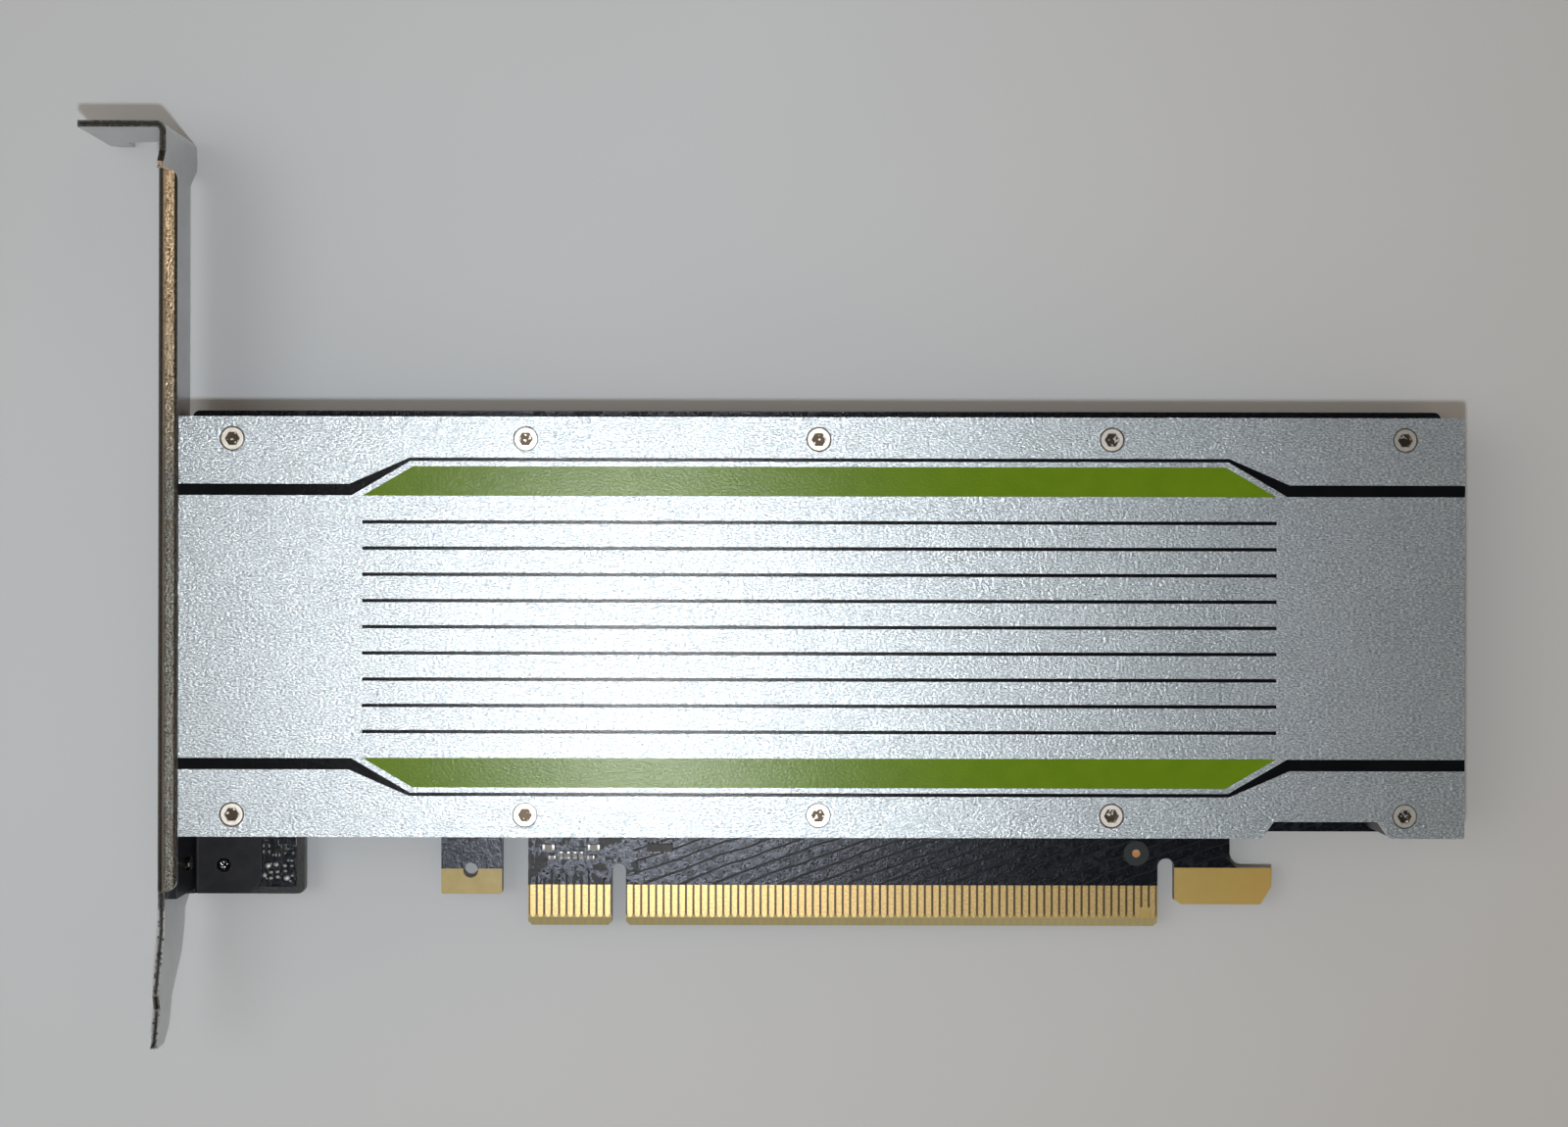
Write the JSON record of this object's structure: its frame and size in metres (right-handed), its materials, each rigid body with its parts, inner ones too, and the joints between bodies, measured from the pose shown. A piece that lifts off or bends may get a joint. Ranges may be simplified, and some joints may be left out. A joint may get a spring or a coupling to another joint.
{
  "type": "passive accelerator card",
  "caption": "Low-profile, single-slot expansion card with a passive finned heatsink under a flat silver cover and a full-height vented rear bracket.",
  "frame": {"origin": "centre of the edge connector's key notch, on the connector's insertion edge, in the middle plane of the circuit board", "axes": "+X along the card away from the rear bracket, +Y from the insertion edge up towards the card's top edge and the bracket's tab, +Z out of the component side, where the heatsink and cover are"},
  "size_m": [0.1791, 0.12, 0.0184],
  "materials": {
    "laminate": "bare glass-epoxy laminate, satin",
    "solder_mask": "black solder mask, semi-gloss",
    "contact_gold": "hard gold plating, smooth",
    "cover_aluminium": "bead blasted and clear anodised",
    "heatsink_aluminium": "machined, matt",
    "fin_aluminium": "rolled sheet",
    "copper": "machined copper",
    "print_green": "screen print, satin",
    "print_black": "screen print, satin",
    "bracket_steel": "nickel-plated sheet steel",
    "black_steel": "black plated steel, satin",
    "screw_nickel": "nickel-plated",
    "screw_black": "black oxide",
    "chip_package": "moulded epoxy",
    "chip_green": "package substrate",
    "silicon": "polished silicon",
    "thermal_pad": "soft pad",
    "thermal_grease": "paste",
    "inductor_core": "pressed iron powder",
    "capacitor_ceramic": "fired ceramic with tinned ends",
    "capacitor_polymer": "moulded case",
    "insulator_film": "polyester film"
  },
  "bodies": {
    "root": {"circuit_board": "laminate", "solder_mask_front": "solder_mask", "solder_mask_back": "solder_mask", "edge_contacts_front": "contact_gold", "edge_contacts_back": "contact_gold", "alignment_mark": "copper", "cover_plate": "cover_aluminium", "cover_screws": "screw_nickel", "green_stripes": "print_green", "black_stripes": "print_black", "heatsink_body": "heatsink_aluminium", "heatsink_fins": "fin_aluminium", "heat_spreader": "copper", "chip_substrate": "chip_green", "chip_die": "silicon", "thermal_paste": "thermal_grease", "memory_chips": "chip_package", "memory_pads": "thermal_pad", "power_inductors": "inductor_core", "inductor_pads": "thermal_pad", "power_stages": "chip_package", "stage_pads": "thermal_pad", "input_capacitors": "capacitor_polymer", "front_capacitors": "capacitor_ceramic", "port_controller": "chip_package", "flash_memory": "chip_package", "clock_crystal": "screw_nickel", "rear_bracket": "bracket_steel", "bracket_screws": "screw_nickel", "mounting_angle": "black_steel", "angle_screws": "screw_black", "heatsink_screws": "screw_black", "retention_cross": "black_steel", "insulator_sheet": "insulator_film", "cross_screws": "screw_black", "back_capacitors": "capacitor_ceramic", "back_polymer_capacitors": "capacitor_polymer", "management_chip": "chip_package"}
  },
  "joints": []
}
